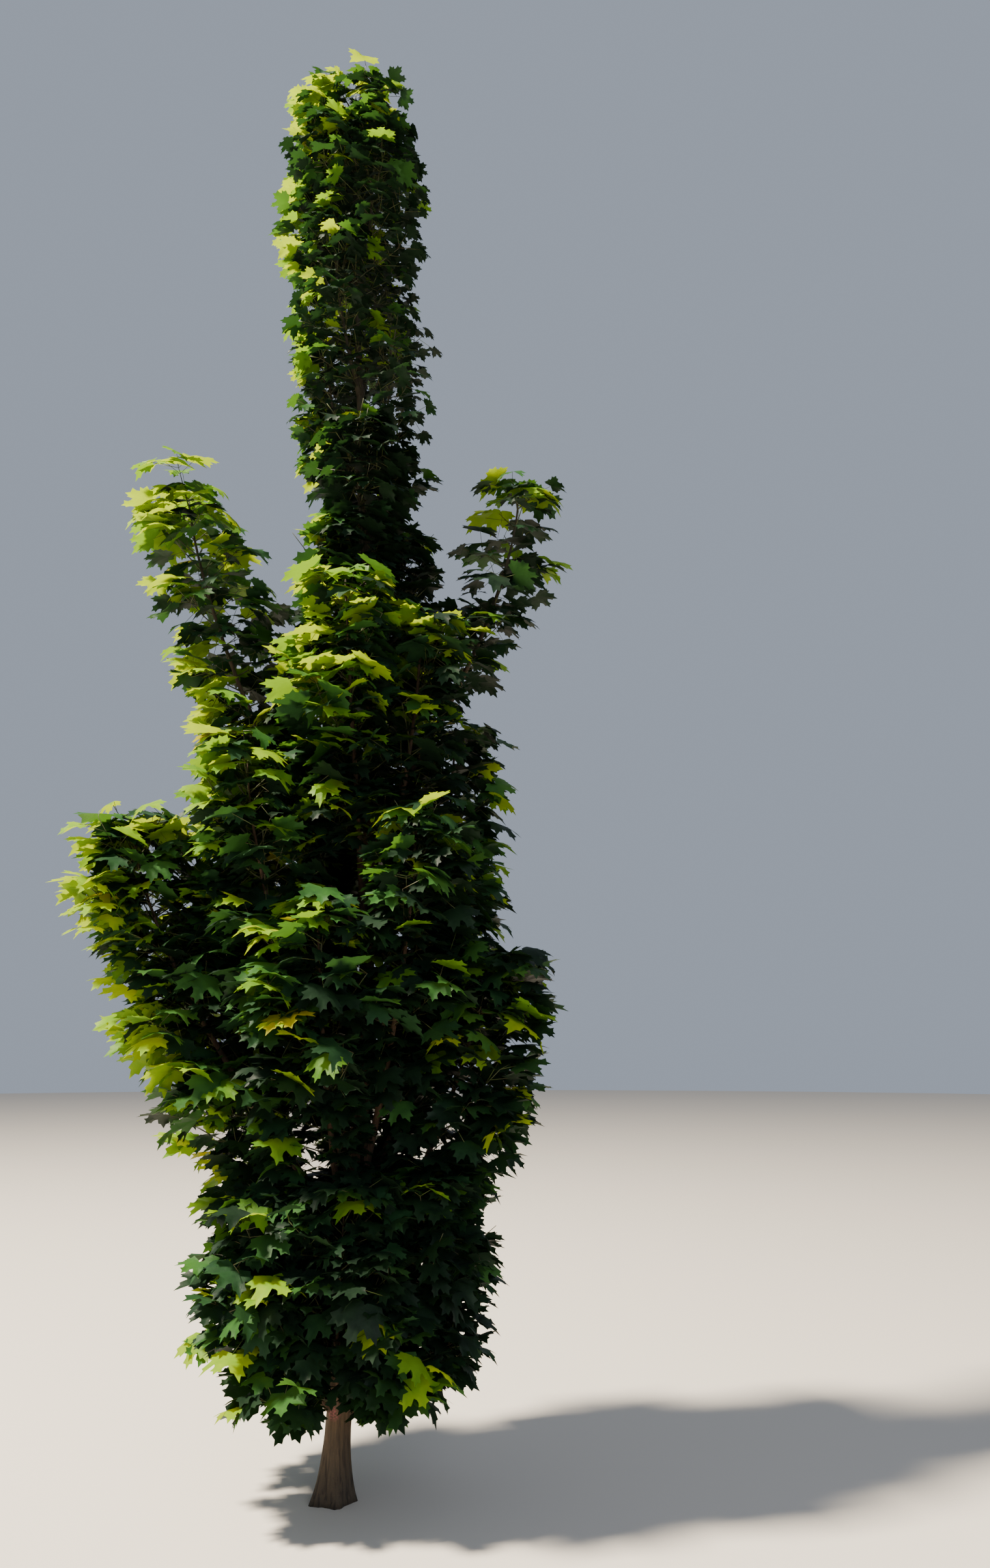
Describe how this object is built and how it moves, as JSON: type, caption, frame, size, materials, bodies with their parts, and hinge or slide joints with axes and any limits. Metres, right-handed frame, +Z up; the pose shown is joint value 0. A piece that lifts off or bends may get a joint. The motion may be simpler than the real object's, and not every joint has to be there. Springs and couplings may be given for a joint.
{
  "type": "columnar norway maple tree",
  "caption": "Young upright maple tree with one straight trunk, steep boughs and a dense narrow leafy crown down to its foot.",
  "frame": {"origin": "centre of the flat cut under the trunk, at ground level", "axes": "+Z up along the trunk, -Y towards the side that the picture shows, +X to the right in that view"},
  "size_m": [1.9628, 1.4701, 5.9553],
  "materials": {
    "bark": "matt, shallowly grooved bark",
    "foliage": "soft satin leaves"
  },
  "bodies": {
    "root": {"trunk": "bark", "bough_back_left": "bark", "bough_back_low": "bark", "bough_back_right": "bark", "bough_back_tall": "bark", "bough_front_left": "bark", "bough_front_low": "bark", "bough_front_right": "bark", "bough_front_tall": "bark", "bough_left_low": "bark", "bough_left_mid": "bark", "bough_left_tall": "bark", "bough_left_upper": "bark", "bough_right_low": "bark", "bough_right_mid": "bark", "bough_right_tall": "bark", "bough_right_upper": "bark", "mass_back_left": "foliage", "mass_back_low": "foliage", "mass_back_right": "foliage", "mass_back_tall": "foliage", "mass_column_left_1": "foliage", "mass_column_left_2": "foliage", "mass_column_left_3": "foliage", "mass_column_left_4": "foliage", "mass_column_left_5": "foliage", "mass_column_right_1": "foliage", "mass_column_right_2": "foliage", "mass_column_right_3": "foliage", "mass_column_right_4": "foliage", "mass_column_right_5": "foliage", "mass_front_left": "foliage", "mass_front_low": "foliage", "mass_front_right": "foliage", "mass_front_tall": "foliage", "mass_leader": "foliage", "mass_left_low": "foliage", "mass_left_mid": "foliage", "mass_left_tall": "foliage", "mass_left_upper": "foliage", "mass_right_low": "foliage", "mass_right_mid": "foliage", "mass_right_tall": "foliage", "mass_right_upper": "foliage", "mass_skirt_1": "foliage", "mass_skirt_2": "foliage", "mass_skirt_3": "foliage", "mass_skirt_4": "foliage", "mass_skirt_5": "foliage", "mass_skirt_6": "foliage"}
  },
  "joints": []
}
